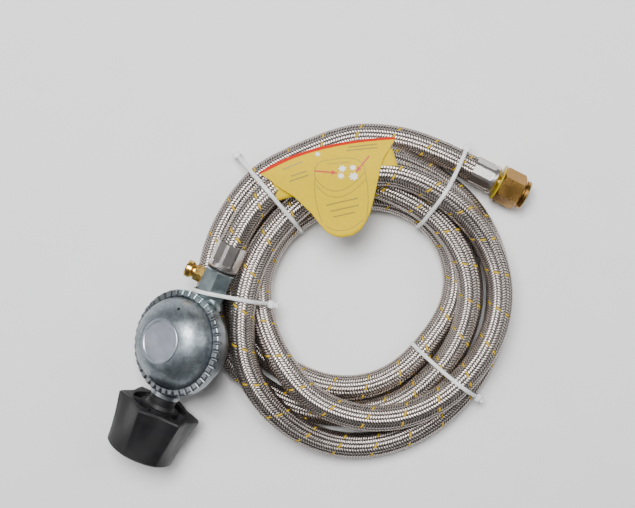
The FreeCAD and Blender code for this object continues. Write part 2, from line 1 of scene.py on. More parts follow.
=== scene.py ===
import json
import math
import bpy
import numpy as np
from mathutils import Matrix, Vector


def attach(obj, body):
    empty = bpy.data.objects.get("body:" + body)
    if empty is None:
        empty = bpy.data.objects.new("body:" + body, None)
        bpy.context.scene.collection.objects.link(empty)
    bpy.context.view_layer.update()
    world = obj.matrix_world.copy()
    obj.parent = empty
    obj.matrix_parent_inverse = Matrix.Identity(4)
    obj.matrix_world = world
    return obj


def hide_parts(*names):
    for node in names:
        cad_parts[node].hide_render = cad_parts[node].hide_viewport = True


# Looks of the regulator and its braided hose. Metres, +Z up, the floor is z = 0.

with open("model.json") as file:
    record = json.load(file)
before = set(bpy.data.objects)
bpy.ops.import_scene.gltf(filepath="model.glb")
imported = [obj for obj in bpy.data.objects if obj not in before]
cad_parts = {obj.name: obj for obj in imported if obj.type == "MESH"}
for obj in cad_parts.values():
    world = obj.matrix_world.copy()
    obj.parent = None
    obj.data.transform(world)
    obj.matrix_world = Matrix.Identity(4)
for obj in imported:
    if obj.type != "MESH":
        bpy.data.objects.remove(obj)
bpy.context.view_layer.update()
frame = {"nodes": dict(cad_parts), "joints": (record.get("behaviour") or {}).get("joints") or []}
JOINTS = {joint["name"]: joint for joint in frame["joints"]}
HOUSING = "housing"

# ---------------------------------------------------------------- places taken from the frame

GAS = np.array(JOINTS["handwheel_spin"]["axis"])         # down the gas line, towards the handwheel
DOME = np.array(JOINTS["diaphragm_slide"]["axis"])       # up the dome's centre line
SIDE = np.cross(DOME, GAS)
OUTLET = np.array(JOINTS["flare_nut_spin"]["axis"])      # out of the hose's far end
CROSSING_TO_WHEEL = 0.055                                # along the gas line, to the handwheel's joint
CROSSING_TO_HOSE = 0.0641                                # the other way, to the ferrule's mouth
MOUTH_TO_NUT = 0.027                                     # from the outlet ferrule's mouth to the nut's joint
CROSSING = np.array(JOINTS["handwheel_spin"]["pos_m"]) - CROSSING_TO_WHEEL * GAS
OUTLET_MOUTH = np.array(JOINTS["flare_nut_spin"]["pos_m"]) - MOUTH_TO_NUT * OUTLET
REG_MOUTH = CROSSING - CROSSING_TO_HOSE * GAS
COIL_AT = np.array([0.11214, 0.04145, 0.0])              # centre of the coil, on the floor

HOSE_D = 0.0154
HOSE_R = HOSE_D / 2
REST_Z = 0.0090                                          # centre of a turn that lies on the tie bands
RIM_NOTCHES = 40                                         # crimp marks round the housing's rim


# ---------------------------------------------------------------- small tools

def mesh_object(name, verts, faces, smooth=True):
    mesh = bpy.data.meshes.new(name)
    mesh.from_pydata([tuple(v) for v in verts], [], [tuple(f) for f in faces])
    mesh.validate()
    mesh.update()
    if smooth:
        mesh.polygons.foreach_set("use_smooth", [True] * len(mesh.polygons))
    obj = bpy.data.objects.new(name, mesh)
    bpy.context.scene.collection.objects.link(obj)
    return obj


def from_coil(point):
    """A point given in millimetres from the coil's centre, in metres."""
    return COIL_AT + np.array(point) / 1000


def grid_faces(rows, columns, closed_rows=False, closed_columns=False):
    """Quads of a grid of points stored row after row."""
    faces = []
    for row in range(rows if closed_rows else rows - 1):
        for column in range(columns if closed_columns else columns - 1):
            here = row * columns + column
            right = row * columns + (column + 1) % columns
            below = ((row + 1) % rows) * columns
            faces.append((here, right, below + (column + 1) % columns, below + column))
    return faces


def set_uv(obj, uv):
    """One texture coordinate per vertex."""
    layer = obj.data.uv_layers.new(name="UVMap")
    loops = np.empty(len(obj.data.loops), dtype=np.int32)
    obj.data.loops.foreach_get("vertex_index", loops)
    layer.data.foreach_set("uv", np.asarray(uv, dtype=np.float32)[loops].ravel())


def give(obj, material):
    obj.data.materials.clear()
    obj.data.materials.append(material)


class Nodes:
    """Short way to wire a procedural material."""

    def __init__(self, name, **sockets):
        self.material = bpy.data.materials.new(name)
        self.material.use_nodes = True
        self.tree = self.material.node_tree
        self.shader = self.tree.nodes["Principled BSDF"]
        for key, value in sockets.items():
            self.shader.inputs[key.replace("_", " ")].default_value = value

    def add(self, kind, **values):
        node = self.tree.nodes.new(kind)
        for key, value in values.items():
            if key in node.inputs:
                node.inputs[key].default_value = value
            else:
                setattr(node, key, value)
        return node

    def link(self, source, target):
        self.tree.links.new(source, target)

    def place(self):
        """Position in the part's own frame."""
        return self.add("ShaderNodeTexCoord").outputs["Object"]

    def noise(self, scale, detail=4.0, rough=0.5):
        node = self.add("ShaderNodeTexNoise", Scale=scale, Detail=detail, Roughness=rough)
        self.link(self.place(), node.inputs["Vector"])
        return node.outputs["Fac"]

    def ramp(self, factor, stops):
        node = self.add("ShaderNodeValToRGB")
        elements = node.color_ramp.elements
        while len(elements) < len(stops):
            elements.new(0.5)
        for element, (at, colour) in zip(elements, stops):
            element.position = at
            element.color = (*colour, 1.0)
        self.link(factor, node.inputs["Fac"])
        return node.outputs["Color"]

    def grey(self, factor, stops):
        return self.ramp(factor, [(at, (value, value, value)) for at, value in stops])

    def math(self, operation, first, second=None):
        node = self.add("ShaderNodeMath", operation=operation)
        for index, value in enumerate((first, second)):
            if value is None:
                continue
            if isinstance(value, (int, float)):
                node.inputs[index].default_value = value
            else:
                self.link(value, node.inputs[index])
        return node.outputs[0]

    def mix(self, factor, first, second):
        node = self.add("ShaderNodeMix", data_type="RGBA")
        for index, value in ((0, factor), (6, first), (7, second)):      # its colour sockets are 6, 7 and 2
            if isinstance(value, (int, float)):
                node.inputs[index].default_value = value
            elif isinstance(value, tuple):
                node.inputs[index].default_value = value + (1.0,)
            else:
                self.link(value, node.inputs[index])
        return node.outputs[2]

    def along(self, direction):
        """Distance along a direction, in metres from the frame's origin."""
        node = self.add("ShaderNodeVectorMath", operation="DOT_PRODUCT")
        self.link(self.place(), node.inputs[0])
        node.inputs[1].default_value = tuple(direction)
        return node.outputs["Value"]

    def bump(self, height, strength, distance):
        node = self.add("ShaderNodeBump", Strength=strength, Distance=distance)
        self.link(height, node.inputs["Height"])
        previous = self.shader.inputs["Normal"].links
        if previous:
            self.link(previous[0].from_socket, node.inputs["Normal"])
        self.link(node.outputs["Normal"], self.shader.inputs["Normal"])

    def colour(self, socket):
        self.link(socket, self.shader.inputs["Base Color"])

    def colour_so_far(self):
        return self.shader.inputs["Base Color"].links[0].from_socket

    def uv(self):
        """The two texture coordinates, apart."""
        parts = self.add("ShaderNodeSeparateXYZ")
        self.link(self.add("ShaderNodeTexCoord").outputs["UV"], parts.inputs[0])
        return parts.outputs[0], parts.outputs[1]

    def roughness(self, socket):
        self.link(socket, self.shader.inputs["Roughness"])


# ---------------------------------------------------------------- route of the hose

# Points of the two ends, in millimetres from the coil's centre.
LEAD_IN = [(-49.6, 63.1, 36.5), (-25.4, 76.8, 30.5), (-0.3, 82.0, 23.5)]
LEAD_OUT = [(-11.2, 92.8, 9.0), (8.5, 93.8, 9.5), (29.0, 90.4, 11.2), (49.27, 82.03, 12.4)]

# How each turn lies: (angle, distance from the coil's centre, height), degrees and millimetres.
LAY = [
    # first turn, high at the regulator, then down to the floor and up over the crossing at the left
    (90, 82, 23.5), (75, 82.5, 17), (60, 84, 11), (45, 84.5, 9), (30, 84, 9), (0, 83.5, 9), (-30, 84, 9),
    (-45, 85.5, 9), (-64, 88.2, 9), (-90, 91.2, 9.6), (-104, 90.4, 11.2), (-117, 87.6, 16.5), (-131, 84, 23),
    (-146, 80.5, 25.5), (-161, 74.5, 27), (-178, 69, 28), (-195, 65.5, 25), (-212, 63.5, 24), (-232, 63, 23),
    # second turn, on top of the bundle
    (-250, 65, 25), (-270, 67.5, 29), (-285, 70, 31), (-300, 70, 31), (-310, 71, 30.5), (-323, 73, 28),
    (-338, 76, 25), (-353, 78.5, 24), (-383, 78, 23), (-398, 76, 23), (-414, 75, 23), (-429, 74.6, 23),
    (-446, 73.5, 23.5), (-463, 71.7, 23), (-480, 70.2, 22.5), (-496, 67.5, 22), (-513, 67.5, 18),
    (-530, 68.5, 12), (-540, 69, 9),
    # third turn, innermost, on the floor
    (-560, 66, 9), (-592, 62, 9), (-645, 61.5, 9), (-670, 61, 9), (-698, 60, 9), (-720, 57.5, 9),
    (-735, 54.5, 9), (-750, 52, 9), (-765, 51.5, 9), (-780, 53, 9), (-790, 54.5, 9), (-810, 57.5, 9),
    (-830, 60, 9), (-848, 62.5, 9), (-870, 67, 9), (-885, 71, 9), (-900, 74.5, 9), (-920, 76.5, 9),
    (-952, 76, 9),
    # last turn, up over the third and down again outside it, to the nut
    (-975, 70.5, 14), (-1005, 61.5, 22), (-1020, 61.5, 22), (-1040, 62.5, 21), (-1060, 63.5, 20.5),
    (-1080, 64.5, 20), (-1098, 65, 19.5), (-1115, 66.5, 19), (-1131, 68.5, 17), (-1147, 72, 13),
    (-1170, 75.5, 9), (-1190, 79.5, 9), (-1210, 84.5, 9), (-1230, 87, 9), (-1260, 88.5, 9), (-1290, 88, 9),
    (-1300, 89.5, 9), (-1310, 91, 9), (-1325, 93, 9),
]
LAY_FROM, LAY_TO, LAY_STEP = -78.0, 1320.0, 6.0          # degrees round the coil, clockwise from +X
STRAIGHT_IN = 0.018                                      # straight runs at the two ferrules
STRAIGHT_OUT = 0.012
SETTLE_PASSES = 160
SETTLE_GAP = HOSE_D + 0.0002                             # strands are pushed to this distance
SETTLE_SHARE = 0.25                                      # of what is missing, in each pass
SAME_STRAND = 12                                       # points this near along the line don't push each other


def settle(line, fixed_first, fixed_last):
    """Push strands that lie closer than one diameter apart, keeping the line smooth."""
    start = line.copy()
    count = len(line)
    index = np.arange(count)
    far_along = index[None, :] - index[:, None] > SAME_STRAND
    weight = np.ones(count)
    weight[:fixed_first] = 0
    weight[count - fixed_last:] = 0
    for _ in range(SETTLE_PASSES):
        apart = line[None, :, :] - line[:, None, :]
        distance = np.linalg.norm(apart, axis=2)
        first, second = np.nonzero(far_along & (distance < SETTLE_GAP))
        if len(first):
            away = apart[first, second]
            size = distance[first, second][:, None]
            push = away / size * (SETTLE_GAP - size) * SETTLE_SHARE
            move = np.zeros_like(line)
            np.add.at(move, second, push)
            np.add.at(move, first, -push)
            line = line + move * weight[:, None]
        moved = line - start
        smooth = moved.copy()
        smooth[1:-1] = 0.5 * moved[1:-1] + 0.25 * (moved[:-2] + moved[2:])
        line = start + smooth * weight[:, None]
        line[:, 2] = np.where(weight > 0, np.maximum(line[:, 2], REST_Z), line[:, 2])
    return line


def smooth_rows(rows, angles):
    """Distance and height at each angle, on one smooth line through the rows."""
    at = np.array([-row[0] for row in rows], dtype=float)
    values = []
    for column in (1, 2):
        given = np.array([row[column] for row in rows], dtype=float)
        slope = np.gradient(given, at)
        out = []
        for angle in angles:
            left = min(max(int(np.searchsorted(at, angle)) - 1, 0), len(at) - 2)
            width = at[left + 1] - at[left]
            t = (angle - at[left]) / width
            out.append((2 * t**3 - 3 * t**2 + 1) * given[left]
                       + (t**3 - 2 * t**2 + t) * width * slope[left]
                       + (3 * t**2 - 2 * t**3) * given[left + 1]
                       + (t**3 - t**2) * width * slope[left + 1])
        values.append(np.array(out))
    return values


def hose_points():
    """Control points of the whole hose, from the regulator's ferrule to the outlet's."""
    lead_in = [REG_MOUTH, REG_MOUTH - STRAIGHT_IN * GAS] + [from_coil(point) for point in LEAD_IN]
    lead_out = [from_coil(point) for point in LEAD_OUT] + [OUTLET_MOUTH - STRAIGHT_OUT * OUTLET, OUTLET_MOUTH]
    angles = np.arange(LAY_FROM, LAY_TO, LAY_STEP)
    distance, height = smooth_rows(LAY, angles)
    turn = np.radians(-angles)
    coil = from_coil(np.stack([distance * np.cos(turn), distance * np.sin(turn), height], axis=1))
    line = settle(np.array([*lead_in, *coil, *lead_out]), len(lead_in), len(lead_out))
    inner = line[len(lead_in):len(line) - len(lead_out)]
    return np.array([*lead_in, *inner[::2], *lead_out])


def read_line(points):
    """One smooth NURBS curve through the points, read back as a fine polyline."""
    data = bpy.data.curves.new("route", "CURVE")
    data.dimensions = "3D"
    data.resolution_u = 10
    spline = data.splines.new("NURBS")
    spline.points.add(len(points) - 1)
    for target, point in zip(spline.points, points):
        target.co = (*point, 1.0)
    spline.order_u = 3
    spline.use_endpoint_u = True
    obj = bpy.data.objects.new("route", data)
    bpy.context.scene.collection.objects.link(obj)
    graph = bpy.context.evaluated_depsgraph_get()
    mesh = bpy.data.meshes.new_from_object(obj.evaluated_get(graph))
    line = np.array([tuple(v.co) for v in mesh.vertices])
    bpy.data.meshes.remove(mesh)
    bpy.data.objects.remove(obj)
    bpy.data.curves.remove(data)
    return line


class Line:
    """The hose's centre line with a frame that doesn't twist, at even steps."""

    def __init__(self, points, step=0.001):
        keep = np.concatenate([[True], np.linalg.norm(np.diff(points, axis=0), axis=1) > 1e-7])
        points = points[keep]
        run = np.concatenate([[0], np.cumsum(np.linalg.norm(np.diff(points, axis=0), axis=1))])
        self.length = run[-1]
        self.at = np.linspace(0, self.length, int(self.length / step) + 1)
        self.points = np.stack([np.interp(self.at, run, points[:, i]) for i in range(3)], axis=1)
        tangent = np.gradient(self.points, axis=0)
        for _ in range(3):
            tangent[1:-1] = (tangent[:-2] + 2 * tangent[1:-1] + tangent[2:]) / 4
        self.tangent = tangent / np.linalg.norm(tangent, axis=1)[:, None]
        normal = np.cross(self.tangent[0], (0, 0, 1))
        normal /= np.linalg.norm(normal)
        normals = []
        for heading in self.tangent:
            normal = normal - heading * np.dot(normal, heading)
            normal = normal / np.linalg.norm(normal)
            normals.append(normal)
        self.normal = np.array(normals)
        self.side = np.cross(self.tangent, self.normal)

    def read(self, table, at):
        return np.stack([np.interp(at, self.at, table[:, i]) for i in range(3)], axis=-1)

    def surface(self, at, angle, radius):
        """Points on a tube round the line."""
        out = self.read(self.normal, at) * np.cos(angle)[..., None]
        out = out + self.read(self.side, at) * np.sin(angle)[..., None]
        return self.read(self.points, at) + out * radius[..., None]


hose_line = Line(read_line(hose_points()))

# ---------------------------------------------------------------- hose

CARRIERS = 14                      # bundles of wire in each direction
TRACER = 0                         # the carrier with the yellow yarn
PITCH = 0.022                      # length of hose for one full turn of a bundle
CROSSING_STEP = PITCH / (2 * CARRIERS)
UNDER_R = 0.00695                  # radius of the dark layer under the bundles
CORE_SIDES = 24
CORE_STEP = 0.0025
BUNDLE_W = 0.00118
BUNDLE_LAP = 1.10                  # each stretch on top runs on a little under its neighbours
BUNDLE_RISE = 0.00058              # height of the middle of a stretch over the dark layer
BUNDLE_CROWN = 0.00017             # how far a bundle is domed across its width
CELL_ROWS, CELL_COLUMNS = 6, 3     # points along and across one stretch
FLARE_OUT = 0.00045                # how far the braid stands out where it enters a ferrule
FLARE_RUN = 0.0025
WIRE_WAVES = 6                     # half waves of shading across a bundle, for its wires


def flare(at):
    """The braid stands out a little where it enters a ferrule."""
    from_end = np.minimum(at, hose_line.length - at)
    return FLARE_OUT * np.exp(-(from_end / FLARE_RUN) ** 2)


def make_core():
    rings = int(hose_line.length / CORE_STEP)
    at = np.linspace(0, hose_line.length, rings)
    angle = np.linspace(0, 2 * math.pi, CORE_SIDES, endpoint=False)
    along, around = np.meshgrid(at, angle, indexing="ij")
    verts = hose_line.surface(along, around, UNDER_R + flare(along)).reshape(-1, 3)
    faces = grid_faces(rings, CORE_SIDES, closed_columns=True)
    faces.append(tuple(range(CORE_SIDES - 1, -1, -1)))
    faces.append(tuple(range((rings - 1) * CORE_SIDES, rings * CORE_SIDES)))
    core = mesh_object("hose_core", verts, faces)
    set_uv(core, np.stack([around.ravel() / (2 * math.pi), along.ravel()], axis=1))
    return core


def braid_cells(turn, carriers):
    """Middle of each stretch on top: (distance along the hose, angle at which its carrier starts)."""
    cells = []
    for carrier in carriers:
        first = -2 * carrier if turn > 0 else 1 - 2 * carrier
        for crossing in range(first % 4 - 8, int(hose_line.length / CROSSING_STEP) + 4, 4):
            centre = CROSSING_STEP * (crossing + 0.5)
            if -CROSSING_STEP < centre < hose_line.length + CROSSING_STEP:
                cells.append((centre, 2 * math.pi * carrier / CARRIERS))
    return np.array(cells)


def braid(name, turn, carriers):
    """Every stretch where bundles of one direction lie on top, two over and two under."""
    slant = math.atan2(2 * math.pi * HOSE_R, PITCH)
    cells = braid_cells(turn, carriers)
    rise, across = np.meshgrid(np.linspace(-0.5, 0.5, CELL_ROWS), np.linspace(-0.5, 0.5, CELL_COLUMNS),
                               indexing="ij")
    run = 2 * CROSSING_STEP * BUNDLE_LAP
    base = cells[:, 0][:, None, None] + rise[None] * run
    angle = turn * (2 * math.pi * base / PITCH + cells[:, 1][:, None, None])
    shift = across[None] * BUNDLE_W
    at = np.clip(base - shift * math.sin(slant), 0, hose_line.length)
    angle = angle + turn * shift * math.cos(slant) / HOSE_R
    lift = BUNDLE_RISE * (1 - np.abs(2 * rise) ** 2.4) + BUNDLE_CROWN * (1 - (2 * across) ** 2)
    verts = hose_line.surface(at, angle, UNDER_R + lift + flare(at)).reshape(-1, 3)
    pattern = grid_faces(CELL_ROWS, CELL_COLUMNS)
    if turn > 0:
        pattern = [face[::-1] for face in pattern]
    offsets = np.arange(len(cells))[:, None, None] * CELL_ROWS * CELL_COLUMNS
    obj = mesh_object(name, verts, (np.array(pattern)[None] + offsets).reshape(-1, 4))
    u = np.broadcast_to(across[None] + 0.5, at.shape).ravel()
    v = np.broadcast_to(rise[None] + 0.5, at.shape).ravel()
    set_uv(obj, np.stack([u, v], axis=1))
    return obj


def steel_wire(name, light, dark):
    """Bright wires, with painted shade towards the rims and the ends of each stretch and between the wires.
    """
    nodes = Nodes(name, Metallic=1.0)
    u, v = nodes.uv()
    wires = nodes.math("ABSOLUTE", nodes.math("SINE", nodes.math("MULTIPLY", u, math.pi * WIRE_WAVES)))
    ends = nodes.math("ABSOLUTE", nodes.math("SUBTRACT", v, 0.5))
    rims = nodes.math("ABSOLUTE", nodes.math("SUBTRACT", u, 0.5))
    # painted shade: darker towards the ends of each stretch, where it dips under the crossing bundles, and
    # towards its rims
    shade = nodes.math("MULTIPLY", nodes.grey(ends, [(0.30, 1.0), (0.5, 0.25)]),
                       nodes.grey(rims, [(0.22, 1.0), (0.48, 0.06)]))
    # painted shade in the grooves between the wires, a ripple across each bundle
    shade = nodes.math("MULTIPLY", shade, nodes.grey(wires, [(0.0, 0.82), (0.5, 1.0)]))
    shade = nodes.math("MULTIPLY", shade, nodes.grey(nodes.noise(420.0, 3.0), [(0.3, 0.86), (0.7, 1.0)]))
    nodes.colour(nodes.mix(shade, dark, light))
    nodes.roughness(nodes.grey(nodes.noise(260.0, 2.0), [(0.3, 0.31), (0.7, 0.42)]))
    nodes.bump(wires, 0.2, 0.00006)
    return nodes.material


def under_layer():
    nodes = Nodes("braid_shadow", Metallic=0.4, Roughness=0.6)
    nodes.colour(nodes.grey(nodes.noise(1500.0, 2.0), [(0.35, 0.012), (0.7, 0.04)]))
    return nodes.material


def yellow_yarn():
    nodes = Nodes("tracer_yarn", Roughness=0.55)
    shades = [(0.3, (0.36, 0.22, 0.004)), (0.7, (0.72, 0.47, 0.006))]
    nodes.colour(nodes.ramp(nodes.noise(1400.0, 3.0), shades))
    nodes.bump(nodes.noise(3000.0, 2.0), 0.4, 0.0001)
    return nodes.material


# the second colour is the painted shade of the braid, at the ends and rims of each stretch and between its
# wires
steel = steel_wire("braid_steel", (0.68, 0.60, 0.555), (0.034, 0.028, 0.025))
core = make_core()
give(core, under_layer())
right_braid = braid("braid_right", 1, range(CARRIERS))
left_braid = braid("braid_left", -1, [c for c in range(CARRIERS) if c != TRACER])
tracer = braid("braid_tracer", -1, [TRACER])
give(right_braid, steel)
give(left_braid, steel)
give(tracer, yellow_yarn())
for piece in (core, right_braid, left_braid, tracer):
    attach(piece, HOUSING)
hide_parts("hose_lead_in", "hose_coil", "hose_lead_out")

# ---------------------------------------------------------------- ties

TIE_W = 0.0025
TIE_T = 0.0010
TIE_CLEAR = 0.0006                 # between the hose or the floor and the line that the band follows
TIE_FLOOR = 0.0007                 # lowest point of the outline that the band is pulled round
TIE_BEHIND = -0.02                 # strands are looked for from here, along the tie's plane
TIE_STEP = 0.0015
TIE_SECTION = [(-0.5, -0.5), (-0.44, 0.2), (-0.30, 0.5), (0.30, 0.5), (0.44, 0.2), (0.5, -0.5)]
TIE_LUMPS = [                      # name's ending, height over the band, size, radius of the edges
    ("_head", 0.0014, (0.0050, 0.0048, 0.0036), 0.0009),
    ("_tail", 0.0040, (0.0011, 0.0026, 0.0032), 0.0003),
]
CIRCLE_DOTS = 48
BOSS_DOTS = 36
BOSS_R = 0.0099                    # round the corners of the hexagonal boss, and a little more


def upright_plane(start, end):
    """Start, direction and normal of an upright plane through two floor points, given from the coil."""
    start = from_coil((*start, 0))
    end = from_coil((*end, 0))
    direction = (end - start) / np.linalg.norm(end - start)
    return start, direction, np.array([-direction[1], direction[0], 0.0])


def strands_in(start, direction, across, low, high):
    """The hose where it crosses an upright plane: (distance along the plane, height, half width)."""
    off = (hose_line.points - start) @ across
    found = []
    for i in np.nonzero(off[:-1] * off[1:] < 0)[0]:
        t = off[i] / (off[i] - off[i + 1])
        point = hose_line.points[i] * (1 - t) + hose_line.points[i + 1] * t
        s = float((point - start) @ direction)
        if low < s < high:
            steep = abs(float(hose_line.tangent[i] @ across))
            found.append((s, float(point[2]), HOSE_R / max(steep, 0.5)))
    return found


def hull(points):
    """Convex outline of flat points, anticlockwise."""
    points = sorted(set(points))

    def half(sequence):
        out = []
        for p in sequence:
            while len(out) > 1 and ((out[-1][0] - out[-2][0]) * (p[1] - out[-2][1])
                                    - (out[-1][1] - out[-2][1]) * (p[0] - out[-2][0])) <= 0:
                out.pop()
            out.append(p)
        return out[:-1]

    return half(points) + half(points[::-1])


def even(outline, step):
    """Points at even steps round a closed flat outline."""
    ring = np.array(outline + [outline[0]])
    run = np.concatenate([[0], np.cumsum(np.linalg.norm(np.diff(ring, axis=0), axis=1))])
    at = np.linspace(0, run[-1], max(24, int(run[-1] / step)), endpoint=False)
    return np.stack([np.interp(at, run, ring[:, 0]), np.interp(at, run, ring[:, 1])], axis=1)


def tie_loop(start, direction, across, reach, extra):
    """Outline of the band in its plane: round the strands, smoothed, and clear of the floor."""
    dots = []
    for s, z, wide in strands_in(start, direction, across, TIE_BEHIND, reach):
        for k in range(CIRCLE_DOTS):
            a = 2 * math.pi * k / CIRCLE_DOTS
            height = z + (HOSE_R + TIE_CLEAR) * math.sin(a)
            dots.append((s + (wide + TIE_CLEAR) * math.cos(a), max(height, TIE_FLOOR)))
    loop = even(hull(dots + list(extra)), TIE_STEP)
    for _ in range(4):
        loop = (np.roll(loop, 1, axis=0) + 2 * loop + np.roll(loop, -1, axis=0)) / 4
    loop[:, 1] = np.maximum(loop[:, 1], TIE_CLEAR)
    return loop


def tie(name, start, end, reach, head_at, bow=0.0, extra=()):
    """A nylon tie pulled round all the strands in one upright plane: band, head and cut-off tail."""
    start, direction, across = upright_plane(start, end)
    loop = tie_loop(start, direction, across, reach, extra)
    ahead = np.roll(loop, -1, axis=0) - np.roll(loop, 1, axis=0)
    ahead /= np.linalg.norm(ahead, axis=1)[:, None]
    outward = np.stack([ahead[:, 1], -ahead[:, 0]], axis=1)
    span = loop[:, 0].max() - loop[:, 0].min()

    def sideways(s):
        """The band bows out of its plane between its two ends."""
        t = (s - loop[:, 0].min()) / span
        return bow * 4 * t * (1 - t)

    verts = []
    for (s, z), (out_s, out_z) in zip(loop, outward):
        for w, h in TIE_SECTION:
            lift = (h + 0.1) * TIE_T
            point = start + direction * (s + out_s * lift) + across * (w * TIE_W + sideways(s))
            point[2] = max(z + out_z * lift, 0.0001)
            verts.append(point)
    faces = grid_faces(len(loop), len(TIE_SECTION), closed_rows=True, closed_columns=True)
    band = mesh_object(name, verts, faces)

    nearest = int(np.argmin((loop[:, 0] - head_at[0]) ** 2 + (loop[:, 1] - head_at[1]) ** 2))
    s, z = loop[nearest]
    out = np.array([*(direction[:2] * outward[nearest][0]), outward[nearest][1]])
    forward = np.array([*(direction[:2] * ahead[nearest][0]), ahead[nearest][1]])
    centre = start + direction * s + np.array([0, 0, z]) + across * sideways(s)
    pieces = [band]
    for ending, height, size, radius in TIE_LUMPS:
        verts, faces = rounded_block(centre + out * height, forward, across, out, size, radius)
        pieces.append(mesh_object(name + ending, verts, faces))
    return pieces


def rounded_block(centre, x, y, z, size, radius):
    """A box with rounded edges, as points pulled out from a smaller box."""
    steps = 5
    half = np.array(size) / 2 - radius
    latitudes = [*np.linspace(-math.pi / 2, 0, steps + 1), *np.linspace(0, math.pi / 2, steps + 1)]
    rows, columns = len(latitudes), 4 * (steps + 1)
    verts = []
    for row, lat in enumerate(latitudes):
        for quarter in range(4):
            for k in range(steps + 1):
                lon = math.pi / 2 * (quarter + k / steps)
                side_x = 1 if quarter in (0, 3) else -1
                side_y = 1 if quarter in (0, 1) else -1
                side_z = -1 if row <= steps else 1
                local = (side_x * half[0] + radius * math.cos(lat) * math.cos(lon),
                         side_y * half[1] + radius * math.cos(lat) * math.sin(lon),
                         side_z * half[2] + radius * math.sin(lat))
                verts.append(centre + x * local[0] + y * local[1] + z * local[2])
    faces = grid_faces(rows, columns, closed_columns=True)
    faces.append(tuple(range(columns - 1, -1, -1)))
    faces.append(tuple(range((rows - 1) * columns, rows * columns)))
    return verts, faces


def boss_outline(start, end):
    """Outline of the hexagonal boss where an upright plane cuts it, along the plane and up."""
    start, direction, across = upright_plane(start, end)
    dots = []
    for k in range(BOSS_DOTS):
        a = 2 * math.pi * k / BOSS_DOTS
        point = CROSSING + BOSS_R * (SIDE * math.cos(a) + DOME * math.sin(a))
        point = point - GAS * ((point - start) @ across) / (GAS @ across)
        dots.append((float((point - start) @ direction), float(point[2])))
    return dots


def milky_nylon():
    nodes = Nodes("tie_nylon_milky", Roughness=0.32, Subsurface_Weight=0.45, IOR=1.5)
    nodes.shader.inputs["Subsurface Radius"].default_value = (0.003, 0.003, 0.003)
    nodes.colour(nodes.ramp(nodes.noise(220.0, 3.0), [(0.3, (0.74, 0.76, 0.74)), (0.7, (0.86, 0.87, 0.86))]))
    nodes.bump(nodes.noise(1800.0, 2.0), 0.2, 0.00008)
    return nodes.material


# Each tie's plane runs from start to end, in millimetres from the coil's centre. The rest is in metres in
# that plane: how far strands are looked for, where the head sits, and more points for the band to enclose.
REG_TIE = dict(start=(-96.5, 1.5), end=(-50.0, -8.0))
TIES = {
    "cable_tie_upper_left": dict(start=(-75.3, 82.5), end=(-35.5, 35.5), reach=0.10, head_at=(0.0, 0.008),
                                 extra=[(0.0015, 0.006), (0.0015, 0.010)]),
    "cable_tie_upper_right": dict(start=(61.0, 83.0), end=(33.0, 38.5), reach=0.09, head_at=(-0.01, 0.016),
                                  bow=0.0012),
    "cable_tie_lower_right": dict(start=(29.5, -30.5), end=(70.5, -64.5), reach=0.09, head_at=(0.08, 0.008),
                                  bow=-0.0012),
    "cable_tie_regulator": dict(**REG_TIE, reach=0.06, head_at=(0.06, 0.030), extra=boss_outline(**REG_TIE)),
}

nylon = milky_nylon()
for node, facts in TIES.items():
    parts = tie(node.removeprefix("cable_"), **facts)
    for piece in parts:
        give(piece, nylon)
        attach(piece, HOUSING)
    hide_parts(node)

# ---------------------------------------------------------------- paper tag

# Outlines on the floor plan, in millimetres from the coil's centre: the folded upper edge (first, middle and
# last point of a curve), the free lower edge of the front panel, and the corners of the panel behind it.
TAG_EDGE = [(-59.1, 67.9), (-25.1, 81.9), (17.7, 87.9)]
TAG_LOW = [(-59.1, 67.9), (-53.4, 64.5), (-48.9, 60.6), (-39.8, 55.0), (-30.2, 45.9), (-21.7, 35.1),
           (-17.7, 32.9), (-13.7, 32.0), (-6.8, 32.9), (-1.1, 36.9), (3.5, 45.4), (6.2, 56.8), (9.0, 70.3),
           (10.7, 76.6), (13.6, 81.2), (17.7, 87.9)]
TAG_BACK = [(-52.4, 66.0), (-50.6, 52.6), (19.6, 71.4), (16.0, 83.0)]
FRONT_COLUMNS, FRONT_ROWS = 56, 26
BACK_COLUMNS, BACK_ROWS = 30, 8
FOLD_R = 1.5
FOLD_STEPS = 6
CARD_T = 0.00035


def tag_height(x, y):
    """Height of the front panel: it leans on the strands under it and its free end curls up a little."""
    sag = 0.5 * math.sin((x + 59) / 77 * math.pi * 2.2)
    over = -0.0115 * max(0.0, y - 66.0) ** 2
    curl = 1.2 * max(0.0, (46 - y) / 14) ** 2
    return 37.0 - 0.02 * x + 0.12 * y + sag + over + curl


def along_rows(rows, t):
    """Point at a share of the way along a flat polyline."""
    rows = np.array(rows, dtype=float)
    run = np.concatenate([[0], np.cumsum(np.linalg.norm(np.diff(rows, axis=0), axis=1))])
    t = t * run[-1]
    return np.array([np.interp(t, run, rows[:, 0]), np.interp(t, run, rows[:, 1])])


def arc_through(first, middle, last, t):
    """Quadratic curve through three points."""
    first, middle, last = (np.array(p, dtype=float) for p in (first, middle, last))
    control = 2 * middle - (first + last) / 2
    return (1 - t) ** 2 * first + 2 * t * (1 - t) * control + t * t * last


